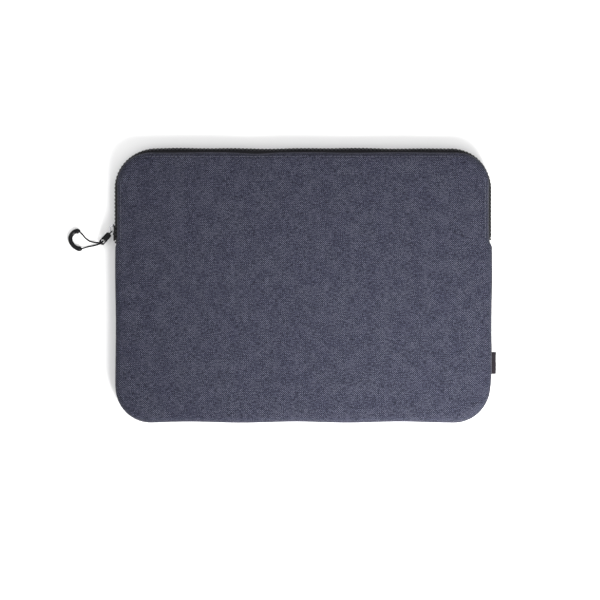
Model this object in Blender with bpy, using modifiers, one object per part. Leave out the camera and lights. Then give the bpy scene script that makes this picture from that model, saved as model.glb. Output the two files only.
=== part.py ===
"""A zipped padded laptop sleeve, lying on its back panel.

The frame is in metres: +X is to the right, +Y runs towards the zipped top edge and +Z is up,
out of the front panel. The origin is the middle of the back panel's flat outer face.
Each half is a tray of three nested layers: woven shell, foam and lining. Between the halves
the wall is a zip round the top and a fabric gusset round the bottom. The upper part of the
front half folds back as a flap.
"""

import math

import bmesh
import bpy
from mathutils import Matrix, Vector

# Driving dimensions
THICKNESS = 0.0250        # whole sleeve, back face to front face
GAP = 0.0003              # between pieces that touch
PANEL_HALF_WIDTH = 0.1675
PANEL_TOP = 0.1194
PANEL_BOTTOM = -0.1231
PANEL_CORNER = 0.0330
CORNER_STEPS = 6          # flats in one quarter round
EDGE_ROUND = 0.0050       # rolled edge of each panel
EDGE_STEPS = 3
TRAY_DEPTH = 0.0080       # depth of one half, face to rim
SHELL = 0.0009
FOAM = 0.0026
LINING = 0.0005
FOAM_INSET = 0.0050       # the foam sheet stops where the panel's edge rolls over
LINING_INSET = 0.0015
FOLD_Y = 0.0570           # crease where the unzipped front folds back

# Zip
CHAIN_HALF_WIDTH = 0.1700  # outer face of the teeth, at the sides
CHAIN_TOP = 0.1236         # outer face of the teeth, at the top edge
CHAIN_CORNER = 0.0350
CHAIN_STEPS = 8
CHAIN_DEPTH = 0.0019       # tooth size, square to the wall
TAPE = 0.0006
TAPE_LEFT_Y = 0.0376       # lower ends of the tapes
TAPE_RIGHT_Y = 0.0398
TEETH_LEFT_Y = 0.0402      # first and last teeth
TEETH_RIGHT_Y = 0.0428
TOOTH_PITCH = 0.0035
TOOTH_WIDTH = 0.00145
ROW_FAR = 0.0027           # heights from the middle of the chain
ROW_NEAR = 0.0011
TOOTH_TIP = 0.0008         # interlocking teeth cross the middle by this much
SIDE_TIP = -0.0006         # teeth down the sides stop short of the slider's wedge
TAPE_NEAR = 0.0009         # tape edge, from the middle of the chain
STOP_LENGTH = 0.0017

# Gusset and label
GUSSET_OUTSET = 0.0005
LABEL_Y = (-0.0802, -0.0603)
LABEL_REACH = 0.1745
LABEL_FOLD = 0.0009        # from the middle of one layer to the middle of the other
LABEL_CLOTH = 0.0005

# Slider, as closed at the left end
SLIDER_Y = (0.0400, 0.0545)
SLIDER_PLATE = 0.0009
SLIDER_HALF_HEIGHT = 0.0042
SLIDER_STEP = 0.0008       # the inner plate and the lips are this much shorter at each end
INNER_PLATE_CLEAR = 0.0007
INNER_HALF_HEIGHT = 0.0026
LIP = 0.0008               # curled edge that guides the teeth
LIP_REACH = 0.0010
JOIN = 0.0002              # overlap of shapes that are joined into one
WEDGE_Y = (0.0410, 0.0455)
WEDGE_HALF = 0.0003
BAIL_CENTRE = Vector((-0.1715, 0.0504))
BAIL_REACH = 0.0032
BAIL_HALF_LENGTH = 0.0037
BAIL_WIRE = 0.00055
EYE_TURN = math.radians(135)   # place of the pull tab's eye along the bail

# Pull tab
EYE_RING = 0.00175
EYE_WIRE = 0.0005
TAB_HEADING = math.radians(225.8)
TAB_SLOPE = math.radians(34.8)
TAB_START = 0.0018
TAB_END = 0.0170
TAB_WIDTH = 0.0054
TAB_THICKNESS = 0.0012
TAB_HOLE = (0.0119, 0.0148)    # along the tab, from the eye
TAB_HOLE_WIDTH = 0.0029

# Cord and its grip
CORD_RADIUS = 0.0007
CORD_SPACING = 0.0016
CORD_ROUTE = [
    (-0.2023, 0.0482, 0.0021), (-0.1999, 0.0459, 0.0013), (-0.1976, 0.0431, 0.0009),
    (-0.1942, 0.0404, 0.0008), (-0.1909, 0.0393, 0.0010), (-0.1880, 0.0390, 0.0021),
    (-0.1856, 0.0386, 0.0038), (-0.1834, 0.0381, 0.0052), (-0.1822, 0.0391, 0.0056),
    (-0.1814, 0.0400, 0.0049), (-0.1812, 0.0402, 0.0035), (-0.1819, 0.0394, 0.0023),
    (-0.1830, 0.0383, 0.0013), (-0.1851, 0.0375, 0.0009), (-0.1884, 0.0364, 0.0008),
    (-0.1920, 0.0356, 0.0008), (-0.1953, 0.0349, 0.0009), (-0.1982, 0.0340, 0.0015),
    (-0.2005, 0.0333, 0.0021),
]
GRIP_RADIUS = 0.0021
GRIP_ROUTE = [
    (-0.2029, 0.0487, 0.0022), (-0.2058, 0.0491, 0.0022), (-0.2090, 0.0472, 0.0022),
    (-0.2110, 0.0433, 0.0022), (-0.2103, 0.0390, 0.0022), (-0.2076, 0.0354, 0.0022),
    (-0.2043, 0.0335, 0.0022), (-0.2013, 0.0331, 0.0022),
]
GRIP_SPACING = 0.0030

# Worked out from the above
MIDDLE_Z = THICKNESS / 2
RIM_Z = TRAY_DEPTH + GAP
FOAM_Z = SHELL + GAP
LINING_Z = FOAM_Z + FOAM + GAP
TAPE_INSET = CHAIN_DEPTH + GAP
EYE = Vector((
    BAIL_CENTRE.x - BAIL_REACH * math.sin(EYE_TURN),
    BAIL_CENTRE.y + BAIL_HALF_LENGTH * math.cos(EYE_TURN),
    MIDDLE_Z,
))


class Edge:
    """One U-shaped run of wall: up a side, round two corners and down the other side.

    A place along it is a distance from the middle of its straight end, positive to the right.
    With end_sign -1 the straight end is the bottom edge."""

    def __init__(self, half_width, end_y, corner, end_sign=1):
        self.half_width = half_width
        self.end_y = end_y
        self.corner = corner
        self.end_sign = end_sign
        self.flat = half_width - corner
        self.turn = corner * math.pi / 2

    def at_side(self, y):
        """The distance along the right side at this height."""
        return self.flat + self.turn + self.end_sign * (self.end_y - y) - self.corner

    def point(self, distance, inset=0.0):
        """The point at a distance, moved inwards by the inset."""
        side = math.copysign(1, distance)
        along = abs(distance)
        turn = min(max((along - self.flat) / self.corner, 0), math.pi / 2)
        across = self.corner - inset
        x = min(along, self.flat) + across * math.sin(turn)
        drop = self.corner - across * math.cos(turn)
        drop += max(along - self.flat - self.turn, 0)
        return Vector((side * x, self.end_y - self.end_sign * drop))

    def rail(self, start, stop, inset=0.0):
        """Points from one distance to another, with CHAIN_STEPS flats in each corner."""
        corner = [self.flat + self.turn * i / CHAIN_STEPS for i in range(CHAIN_STEPS + 1)]
        places = [-d for d in reversed(corner)] + corner
        places = [start] + [d for d in places if start < d < stop] + [stop]
        return [self.point(d, inset) for d in places]


PANEL_EDGE = Edge(PANEL_HALF_WIDTH, PANEL_TOP, PANEL_CORNER)
CHAIN_EDGE = Edge(CHAIN_HALF_WIDTH, CHAIN_TOP, CHAIN_CORNER)
GUSSET_EDGE = Edge(
    PANEL_HALF_WIDTH + GUSSET_OUTSET,
    PANEL_BOTTOM - GUSSET_OUTSET,
    PANEL_CORNER + GUSSET_OUTSET,
    end_sign=-1,
)


def clear_scene():
    for obj in list(bpy.data.objects):
        bpy.data.objects.remove(obj, do_unlink=True)


def new_collection(name):
    collection = bpy.data.collections.new(name)
    bpy.context.scene.collection.children.link(collection)
    return collection


def material(name, colour, roughness, metallic=0.0):
    made = bpy.data.materials.new(name)
    made.use_nodes = True
    made.diffuse_color = (*colour, 1)
    shader = made.node_tree.nodes["Principled BSDF"]
    shader.inputs["Base Color"].default_value = (*colour, 1)
    shader.inputs["Roughness"].default_value = roughness
    shader.inputs["Metallic"].default_value = metallic
    return made


def woven_grey(name):
    return material(name, (0.085, 0.088, 0.130), 0.90)


def lining_black(name):
    return material(name, (0.03, 0.03, 0.035), 0.85)


def zip_black(name):
    return material(name, (0.012, 0.012, 0.015), 0.45)


def add_object(name, data, collection, surface=None):
    obj = bpy.data.objects.new(name, data)
    collection.objects.link(obj)
    if surface:
        data.materials.append(surface)
    return obj


def mesh_object(name, bm, collection, surface=None):
    mesh = bpy.data.meshes.new(name)
    bm.to_mesh(mesh)
    bm.free()
    return add_object(name, mesh, collection, surface)


def box_object(name, low, high, collection, surface=None):
    low = Vector(low)
    high = Vector(high)
    bm = bmesh.new()
    bmesh.ops.create_cube(bm, size=1)
    bmesh.ops.scale(bm, vec=high - low, verts=bm.verts)
    bmesh.ops.translate(bm, vec=(low + high) / 2, verts=bm.verts)
    return mesh_object(name, bm, collection, surface)


def add_boolean(obj, other, operation):
    modifier = obj.modifiers.new(operation.title(), "BOOLEAN")
    modifier.operation = operation
    modifier.object = other


def add_solidify(obj, thickness):
    modifier = obj.modifiers.new("Thickness", "SOLIDIFY")
    modifier.thickness = thickness
    modifier.offset = -1
    modifier.use_even_offset = True


def add_bevel(obj, width, segments, angle):
    modifier = obj.modifiers.new("Rounding", "BEVEL")
    modifier.width = width
    modifier.segments = segments
    modifier.limit_method = "ANGLE"
    modifier.angle_limit = angle


def as_helper(obj):
    obj.hide_render = True
    obj.display_type = "WIRE"
    return obj


def smooth(obj, angle=35):
    obj.data.shade_smooth()
    obj.data.set_sharp_from_angle(angle=math.radians(angle))


# Panels

def panel_outline(inset):
    """The rounded rectangle of a panel, anticlockwise, moved inwards by the inset."""
    middle_y = (PANEL_TOP + PANEL_BOTTOM) / 2
    half_height = (PANEL_TOP - PANEL_BOTTOM) / 2
    radius = PANEL_CORNER - inset
    points = []
    for quarter in range(4):
        start = quarter * math.pi / 2
        sign_x = 1 if quarter in (0, 3) else -1
        sign_y = 1 if quarter in (0, 1) else -1
        centre_x = sign_x * (PANEL_HALF_WIDTH - PANEL_CORNER)
        centre_y = middle_y + sign_y * (half_height - PANEL_CORNER)
        for step in range(CORNER_STEPS + 1):
            angle = start + step * math.pi / 2 / CORNER_STEPS
            x = centre_x + radius * math.cos(angle)
            y = centre_y + radius * math.sin(angle)
            points.append((x, y))
    return points


def to_front(bm):
    """Turns a back layer over, to its place in the front half."""
    bmesh.ops.scale(bm, vec=(1, 1, -1), verts=bm.verts)
    bmesh.ops.translate(bm, vec=(0, 0, THICKNESS), verts=bm.verts)
    bmesh.ops.reverse_faces(bm, faces=bm.faces)


def tray(name, inset, floor_z, thickness, is_front, surface, parts):
    """One cloth layer of a half: a flat panel with a rolled edge and a low wall."""
    bm = bmesh.new()
    floor = [bm.verts.new((x, y, floor_z)) for x, y in panel_outline(inset)]
    bm.faces.new(list(reversed(floor)))
    wall = bmesh.ops.extrude_edge_only(bm, edges=list(bm.edges))
    rim = [v for v in wall["geom"] if isinstance(v, bmesh.types.BMVert)]
    bmesh.ops.translate(bm, vec=(0, 0, TRAY_DEPTH - floor_z), verts=rim)
    bmesh.ops.recalc_face_normals(bm, faces=bm.faces)
    if max(bm.faces, key=lambda face: face.calc_area()).normal.z > 0:
        bmesh.ops.reverse_faces(bm, faces=bm.faces)
    if is_front:
        to_front(bm)
    obj = mesh_object(name, bm, parts, surface)
    if EDGE_ROUND > floor_z:
        add_bevel(obj, EDGE_ROUND - floor_z, EDGE_STEPS, math.radians(60))
    add_solidify(obj, thickness)
    smooth(obj)
    return obj


def foam_sheet(name, is_front, surface, parts):
    """The flat sheet of foam between a shell and its lining."""
    bm = bmesh.new()
    face = bm.faces.new([bm.verts.new((x, y, FOAM_Z)) for x, y in panel_outline(FOAM_INSET)])
    risen = bmesh.ops.extrude_face_region(bm, geom=[face])
    top = [v for v in risen["geom"] if isinstance(v, bmesh.types.BMVert)]
    bmesh.ops.translate(bm, vec=(0, 0, FOAM), verts=top)
    bmesh.ops.recalc_face_normals(bm, faces=bm.faces)
    if is_front:
        to_front(bm)
    return mesh_object(name, bm, parts, surface)


def half_layer(layer, name, is_front, parts):
    """One of a half's three layers."""
    if layer == "shell":
        return tray(name, 0, 0, SHELL, is_front, woven_grey(name.replace("_", " ")), parts)
    if layer == "foam":
        return foam_sheet(name, is_front, material(name.replace("_", " "), (0.05, 0.05, 0.055), 0.95), parts)
    return tray(name, LINING_INSET, LINING_Z, LINING, is_front, lining_black(name.replace("_", " ")), parts)


def back_half(parts):
    for layer in ("shell", "foam", "lining"):
        half_layer(layer, f"back_{layer}", False, parts)


def fold_cutters(helpers):
    """Boxes that take away all above, and all below, the fold."""
    reach = 0.3
    above = box_object(
        "cut_above_fold", (-reach, FOLD_Y - GAP / 2, -reach), (reach, reach, reach), helpers)
    below = box_object(
        "cut_below_fold", (-reach, -reach, -reach), (reach, FOLD_Y + GAP / 2, reach), helpers)
    return as_helper(above), as_helper(below)


def front_half(parts, helpers, hinge):
    above, below = fold_cutters(helpers)
    for layer in ("shell", "foam", "lining"):
        for part, cutter in (("lower", above), ("flap", below)):
            obj = half_layer(layer, f"front_{layer}_{part}", True, parts)
            add_boolean(obj, cutter, "DIFFERENCE")
            if part == "flap":
                put_under(obj, hinge)


def put_under(obj, pivot):
    """Parents to an empty on the joint's axis, and keeps the object where it is."""
    obj.parent = pivot
    obj.matrix_parent_inverse = Matrix.Translation(pivot.location).inverted()


def pivot_at(name, location, parts):
    pivot = bpy.data.objects.new(name, None)
    pivot.location = location
    pivot.empty_display_size = 0.01
    parts.objects.link(pivot)
    return pivot


# Walls between the halves

def ribbon(name, low_rail, high_rail, low_z, high_z, thickness, surface, parts):
    """A strip standing between two rails that run left to right over the top edge."""
    bm = bmesh.new()
    low = [bm.verts.new((*p, low_z)) for p in low_rail]
    high = [bm.verts.new((*p, high_z)) for p in high_rail]
    for i in range(len(low) - 1):
        bm.faces.new((low[i], high[i], high[i + 1], low[i + 1]))
    obj = mesh_object(name, bm, parts, surface)
    add_solidify(obj, thickness)
    smooth(obj)
    return obj


def gusset(parts):
    stop_left = GUSSET_EDGE.at_side(TAPE_LEFT_Y - GAP)
    stop_right = GUSSET_EDGE.at_side(TAPE_RIGHT_Y - GAP)
    layers = (
        ("gusset_fabric", 0, SHELL, woven_grey("Gusset weave")),
        ("gusset_lining", SHELL + GAP, LINING, lining_black("Gusset lining")),
    )
    for name, inset, thickness, surface in layers:
        # The run is along the bottom, so right to left keeps its outer side out.
        rail = list(reversed(GUSSET_EDGE.rail(-stop_left, stop_right, inset)))
        ribbon(name, rail, rail, RIM_Z, THICKNESS - RIM_Z, thickness, surface, parts)


def tape(name, is_front, start_y, stop_y, start_side, stop_side, parts):
    """One tape, from its seam on a panel's rim to the teeth."""
    seams = (start_side * PANEL_EDGE.at_side(start_y), stop_side * PANEL_EDGE.at_side(stop_y))
    teeth = (start_side * CHAIN_EDGE.at_side(start_y), stop_side * CHAIN_EDGE.at_side(stop_y))
    seam_rail = PANEL_EDGE.rail(*seams, inset=GAP)
    tooth_rail = CHAIN_EDGE.rail(*teeth, inset=TAPE_INSET)
    near_z = MIDDLE_Z + (TAPE_NEAR if is_front else -TAPE_NEAR)
    surface = zip_black(name.replace("_", " "))
    if is_front:
        return ribbon(name, tooth_rail, seam_rail, near_z, THICKNESS - RIM_Z, TAPE, surface, parts)
    return ribbon(name, seam_rail, tooth_rail, RIM_Z, near_z, TAPE, surface, parts)


def tooth_tip(distance):
    """How far past the middle a tooth reaches: less once the chain has turned down a side."""
    half_turned = CHAIN_EDGE.flat + CHAIN_EDGE.turn / 2
    return SIDE_TIP if abs(distance) > half_turned else TOOTH_TIP


def teeth_row(name, is_front, start, stop, parts):
    """A row of square teeth standing on a thin strip, between two distances along the chain."""
    side = 1 if is_front else -1
    offset = TOOTH_PITCH / 2 if is_front else 0
    first = math.ceil((start - offset + TOOTH_WIDTH) / TOOTH_PITCH)
    last = math.floor((stop - offset - TOOTH_WIDTH) / TOOTH_PITCH)
    bm = bmesh.new()

    def station(distance, heights):
        x, y = CHAIN_EDGE.point(distance)
        return [bm.verts.new((x, y, MIDDLE_Z + side * height)) for height in heights]

    def wall(left, right):
        corners = (left[0], left[1], right[1], right[0])
        bm.faces.new(corners if side < 0 else tuple(reversed(corners)))

    before = station(start, (ROW_FAR, ROW_NEAR))
    for number in range(first, last + 1):
        middle = number * TOOTH_PITCH + offset
        tip = -tooth_tip(middle)
        left = station(middle - TOOTH_WIDTH / 2, (ROW_FAR, ROW_NEAR, tip))
        right = station(middle + TOOTH_WIDTH / 2, (ROW_FAR, ROW_NEAR, tip))
        wall(before[:2], left[:2])
        wall(left[:2], right[:2])
        wall(left[1:], right[1:])
        before = right
    wall(before[:2], station(stop, (ROW_FAR, ROW_NEAR)))
    obj = mesh_object(name, bm, parts, zip_black(name.replace("_", " ")))
    add_solidify(obj, CHAIN_DEPTH)
    return obj


def zip_chain(parts, hinge):
    """Both tapes and both rows; the front ones are cut at the fold."""
    tape("back_zip_tape", False, TAPE_LEFT_Y, TAPE_RIGHT_Y, -1, 1, parts)
    left = -CHAIN_EDGE.at_side(TEETH_LEFT_Y)
    right = CHAIN_EDGE.at_side(TEETH_RIGHT_Y)
    teeth_row("back_teeth_row", False, left, right, parts)

    below = FOLD_Y - GAP / 2
    above = FOLD_Y + GAP / 2
    fold_below = CHAIN_EDGE.at_side(below)
    fold_above = CHAIN_EDGE.at_side(above)
    tape("front_zip_tape_left_end", True, TAPE_LEFT_Y, below, -1, -1, parts)
    tape("front_zip_tape_right_end", True, below, TAPE_RIGHT_Y, 1, 1, parts)
    teeth_row("front_teeth_left_end", True, left, -fold_below, parts)
    teeth_row("front_teeth_right_end", True, fold_below, right, parts)
    put_under(tape("front_zip_tape_flap", True, above, above, -1, 1, parts), hinge)
    put_under(teeth_row("front_teeth_flap", True, -fold_above, fold_above, parts), hinge)


def zip_stops(parts):
    """Two small stops where the slider rests, and one that holds the other end shut."""
    outer = CHAIN_HALF_WIDTH
    inner = CHAIN_HALF_WIDTH - CHAIN_DEPTH
    top_y = SLIDER_Y[0] - GAP
    for name, side in (("top_stop_front", 1), ("top_stop_back", -1)):
        heights = sorted((MIDDLE_Z + side * ROW_FAR, MIDDLE_Z - side * SIDE_TIP))
        box_object(
            name, (-outer, top_y - STOP_LENGTH, heights[0]), (-inner, top_y, heights[1]),
            parts, zip_black(name.replace("_", " ")))
    top_y = TEETH_RIGHT_Y - GAP
    box_object(
        "bottom_stop", (inner, top_y - STOP_LENGTH, MIDDLE_Z - ROW_FAR),
        (outer, top_y, MIDDLE_Z + ROW_FAR), parts, zip_black("Bottom stop"))


def label(parts):
    """A folded loop of ribbon, sewn into the right side."""
    surface = material("Label ribbon", (0.035, 0.028, 0.036), 0.8)
    inner = PANEL_HALF_WIDTH + GUSSET_OUTSET + GAP
    fold = LABEL_REACH - LABEL_FOLD / 2 - LABEL_CLOTH / 2
    profile = [(inner, LABEL_FOLD / 2)]
    for step in range(5):
        angle = math.pi / 2 - step * math.pi / 4
        profile.append((fold + LABEL_FOLD / 2 * math.cos(angle), LABEL_FOLD / 2 * math.sin(angle)))
    profile.append((inner, -LABEL_FOLD / 2))
    bm = bmesh.new()
    near = [bm.verts.new((x, LABEL_Y[0], MIDDLE_Z + z)) for x, z in profile]
    far = [bm.verts.new((x, LABEL_Y[1], MIDDLE_Z + z)) for x, z in profile]
    for i in range(len(profile) - 1):
        bm.faces.new((near[i], near[i + 1], far[i + 1], far[i]))
    bmesh.ops.recalc_face_normals(bm, faces=bm.faces)
    obj = mesh_object("woven_label", bm, parts, surface)
    add_solidify(obj, LABEL_CLOTH)
    obj.modifiers["Thickness"].offset = 0
    smooth(obj)


# Slider, pull tab and cord

def slider(parts, helpers, pivot):
    """Outer and inner plates round the chain, joined by the wedge between the rows."""
    outer_face = CHAIN_HALF_WIDTH + GAP
    inner_face = CHAIN_HALF_WIDTH - TAPE_INSET - TAPE - INNER_PLATE_CLEAR
    half = SLIDER_HALF_HEIGHT
    low_y, high_y = SLIDER_Y
    body = box_object(
        "slider_body", (-outer_face - SLIDER_PLATE, low_y, MIDDLE_Z - half),
        (-outer_face, high_y, MIDDLE_Z + half), parts, zip_black("Slider black"))
    inner = (
        (-inner_face, low_y + SLIDER_STEP, MIDDLE_Z - INNER_HALF_HEIGHT),
        (-inner_face + SLIDER_PLATE, high_y - SLIDER_STEP, MIDDLE_Z + INNER_HALF_HEIGHT))
    wedge = (
        (-outer_face - JOIN, WEDGE_Y[0], MIDDLE_Z - WEDGE_HALF),
        (-inner_face + JOIN, WEDGE_Y[1], MIDDLE_Z + WEDGE_HALF))
    pieces = [inner, wedge]
    for side in (1, -1):
        heights = sorted((side * (ROW_FAR + GAP), side * (ROW_FAR + GAP + LIP)))
        pieces.append((
            (-outer_face - JOIN, low_y + SLIDER_STEP, MIDDLE_Z + heights[0]),
            (-outer_face + LIP_REACH, high_y - SLIDER_STEP, MIDDLE_Z + heights[1])))
    for number, (low, high) in enumerate(pieces):
        piece = as_helper(box_object(f"slider_piece_{number}", low, high, helpers))
        add_boolean(body, piece, "UNION")
    put_under(body, pivot)


def tube(name, points, radius, surface, parts, resolution=2):
    curve = bpy.data.curves.new(name, "CURVE")
    curve.dimensions = "3D"
    curve.bevel_depth = radius
    curve.bevel_resolution = resolution
    curve.use_fill_caps = True
    spline = curve.splines.new("POLY")
    spline.points.add(len(points) - 1)
    for spot, point in zip(spline.points, points):
        spot.co = (*point, 1)
    return add_object(name, curve, parts, surface)


def bail(parts, pivot):
    """The bright wire arch on the slider, which carries the pull tab."""
    points = []
    for step in range(13):
        turn = math.pi * step / 12
        x = BAIL_CENTRE.x - BAIL_REACH * math.sin(turn)
        y = BAIL_CENTRE.y + BAIL_HALF_LENGTH * math.cos(turn)
        points.append((x, y, MIDDLE_Z))
    surface = material("Bail steel", (0.75, 0.75, 0.76), 0.2, 1.0)
    put_under(tube("slider_bail", points, BAIL_WIRE, surface, parts), pivot)


def add_bar(bm, start, stop, width, thickness, square_start=False):
    """A flat bar with round ends, lying along X and centred on the origin's plane."""
    radius = width / 2
    outline = []
    for step in range(9):
        angle = -math.pi / 2 + step * math.pi / 8
        outline.append((stop - radius + radius * math.cos(angle), radius * math.sin(angle)))
    if square_start:
        outline += [(start, radius), (start, -radius)]
    else:
        for step in range(9):
            angle = math.pi / 2 + step * math.pi / 8
            outline.append((start + radius + radius * math.cos(angle), radius * math.sin(angle)))
    face = bm.faces.new([bm.verts.new((x, y, -thickness / 2)) for x, y in outline])
    risen = bmesh.ops.extrude_face_region(bm, geom=[face])
    verts = [v for v in risen["geom"] if isinstance(v, bmesh.types.BMVert)]
    bmesh.ops.translate(bm, vec=(0, 0, thickness), verts=verts)
    bmesh.ops.recalc_face_normals(bm, faces=bm.faces)


def tab_matrix():
    turn = Matrix.Rotation(TAB_HEADING, 4, "Z") @ Matrix.Rotation(TAB_SLOPE, 4, "Y")
    return Matrix.Translation(EYE) @ turn


def pull_tab(parts, helpers, pivot):
    """A flat plate with a hole for the cord, hung on the bail by a round eye."""
    place = tab_matrix()
    bm = bmesh.new()
    add_bar(bm, TAB_START, TAB_END, TAB_WIDTH, TAB_THICKNESS, square_start=True)
    bm.transform(place)
    plate = mesh_object("pull_tab", bm, parts, zip_black("Pull tab black"))

    bm = bmesh.new()
    add_bar(bm, *TAB_HOLE, TAB_HOLE_WIDTH, TAB_THICKNESS * 3)
    bm.transform(place)
    add_boolean(plate, as_helper(mesh_object("tab_hole", bm, helpers)), "DIFFERENCE")

    bpy.ops.mesh.primitive_torus_add(
        major_radius=EYE_RING, minor_radius=EYE_WIRE, major_segments=20, minor_segments=8)
    eye = bpy.context.object
    eye.name = "tab_eye"
    for owner in list(eye.users_collection):
        owner.objects.unlink(eye)
    helpers.objects.link(eye)
    eye.data.transform(place @ Matrix.Rotation(math.pi / 2, 4, "X"))
    add_boolean(plate, as_helper(eye), "UNION")
    put_under(plate, pivot)


def smooth_route(route, spacing):
    """Evenly spaced points on a smooth curve through the route's own points."""
    knots = [Vector(p) for p in route]
    knots = [2 * knots[0] - knots[1]] + knots + [2 * knots[-1] - knots[-2]]
    fine = []
    for before, a, b, after in zip(knots, knots[1:], knots[2:], knots[3:]):
        for step in range(16):
            t = step / 16
            fine.append(0.5 * (
                2 * a + (b - before) * t
                + (2 * before - 5 * a + 4 * b - after) * t ** 2
                + (3 * a - before - 3 * b + after) * t ** 3))
    fine.append(knots[-2])
    total = sum((b - a).length for a, b in zip(fine, fine[1:]))
    count = max(round(total / spacing), 2)
    points = [fine[0]]
    walked = 0.0
    for a, b in zip(fine, fine[1:]):
        walked += (b - a).length
        if walked >= total * len(points) / count and len(points) < count:
            points.append(b)
    return points + [fine[-1]]


def cord_and_grip(parts, pivot):
    cord = tube(
        "pull_cord", smooth_route(CORD_ROUTE, CORD_SPACING), CORD_RADIUS,
        material("Cord braid", (0.02, 0.02, 0.022), 0.8), parts)
    grip = tube(
        "cord_grip", smooth_route(GRIP_ROUTE, GRIP_SPACING), GRIP_RADIUS,
        material("Grip rubber", (0.015, 0.015, 0.017), 0.4), parts, resolution=3)
    put_under(cord, pivot)
    put_under(grip, pivot)


def main():
    clear_scene()
    parts = new_collection("Laptop sleeve")
    helpers = new_collection("Cutters")
    helpers.hide_render = True
    hinge = pivot_at("fold_axis", (0, FOLD_Y, THICKNESS), parts)
    slider_pivot = pivot_at("slider_axis", (-CHAIN_HALF_WIDTH, sum(SLIDER_Y) / 2, MIDDLE_Z), parts)
    tab_pivot = pivot_at("tab_axis", EYE, parts)
    hole_x = sum(TAB_HOLE) / 2
    cord_pivot = pivot_at("cord_axis", tab_matrix() @ Vector((hole_x, 0, 0)), parts)
    back_half(parts)
    front_half(parts, helpers, hinge)
    gusset(parts)
    zip_chain(parts, hinge)
    zip_stops(parts)
    label(parts)
    slider(parts, helpers, slider_pivot)
    bail(parts, slider_pivot)
    pull_tab(parts, helpers, tab_pivot)
    cord_and_grip(parts, cord_pivot)


main()
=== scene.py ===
"""A zipped padded laptop sleeve: fabric, zip, pull tab, cord and label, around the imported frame."""

import math

import bmesh
import bpy
import numpy as np
from mathutils import Matrix, Vector, noise


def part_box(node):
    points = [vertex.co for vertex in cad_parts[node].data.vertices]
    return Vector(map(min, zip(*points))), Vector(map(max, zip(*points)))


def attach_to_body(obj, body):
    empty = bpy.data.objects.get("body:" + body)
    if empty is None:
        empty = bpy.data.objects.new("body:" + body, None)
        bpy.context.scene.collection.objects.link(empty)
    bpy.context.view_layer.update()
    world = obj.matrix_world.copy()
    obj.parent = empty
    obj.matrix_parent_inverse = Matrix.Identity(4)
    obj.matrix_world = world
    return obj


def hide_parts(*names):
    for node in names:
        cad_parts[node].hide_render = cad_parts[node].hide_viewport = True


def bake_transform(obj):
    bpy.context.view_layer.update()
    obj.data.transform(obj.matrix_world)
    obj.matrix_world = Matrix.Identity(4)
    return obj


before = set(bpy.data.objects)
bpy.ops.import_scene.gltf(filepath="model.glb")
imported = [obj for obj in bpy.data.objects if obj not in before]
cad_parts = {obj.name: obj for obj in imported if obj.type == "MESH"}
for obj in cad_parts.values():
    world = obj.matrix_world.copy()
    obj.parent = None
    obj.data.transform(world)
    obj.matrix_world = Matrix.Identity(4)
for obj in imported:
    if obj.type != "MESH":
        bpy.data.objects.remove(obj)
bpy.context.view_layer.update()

# Sizes, in metres. The frame gives the places; these are the fabric's own.
PANEL_LOW, PANEL_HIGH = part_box("back_shell")
FRONT_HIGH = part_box("front_shell_flap")[1]
CHAIN_LOW, CHAIN_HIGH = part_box("back_teeth_row")
SLIDER_LOW, SLIDER_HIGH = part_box("slider_body")
LABEL_LOW, LABEL_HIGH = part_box("woven_label")

THICKNESS = FRONT_HIGH[2]
MIDDLE_Z = THICKNESS / 2
PANEL_HALF = PANEL_HIGH[0]
PANEL_CORNER = 0.0330
PANEL_MIDDLE_Y = (PANEL_LOW[1] + PANEL_HIGH[1]) / 2
PANEL_HALF_HEIGHT = (PANEL_HIGH[1] - PANEL_LOW[1]) / 2
RIM_DEPTH = PANEL_HIGH[2]
EDGE_ROUND = 0.0050
CLOTH = 0.0009
FOAM = 0.0026
LINING = 0.0005
GAP = 0.0003
FOAM_INSET = 0.0050
LINING_INSET = 0.0015
CROWN = 0.0018          # how far the padded front rises in its middle
STITCH_INSET = 0.0034
LEFT_BULGE = 0.0010     # the sides below the zip stand out this much
RIGHT_BULGE = 0.0024
LOWER_CORNER_BULGE = 0.0016
LEFT_CORNER_PUSH = 0.0014
RIGHT_CORNER_PUSH = 0.0023
ZIP_LEFT_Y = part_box("back_zip_tape")[0][1]
ZIP_RIGHT_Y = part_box("bottom_stop")[0][1]

CHAIN_HALF = CHAIN_HIGH[0]
CHAIN_TOP = CHAIN_HIGH[1]
CHAIN_CORNER = 0.0350
CHAIN_LEFT_Y = CHAIN_LOW[1]
CHAIN_RIGHT_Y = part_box("bottom_stop")[1][1] + GAP
TOOTH_PITCH = 0.0035
TOOTH_DEPTH = 0.0019
TAPE_THICKNESS = 0.0005
STITCH_LENGTH = 0.0026
STITCH_PITCH = 0.0034
STITCH_RADIUS = 0.00030

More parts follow.
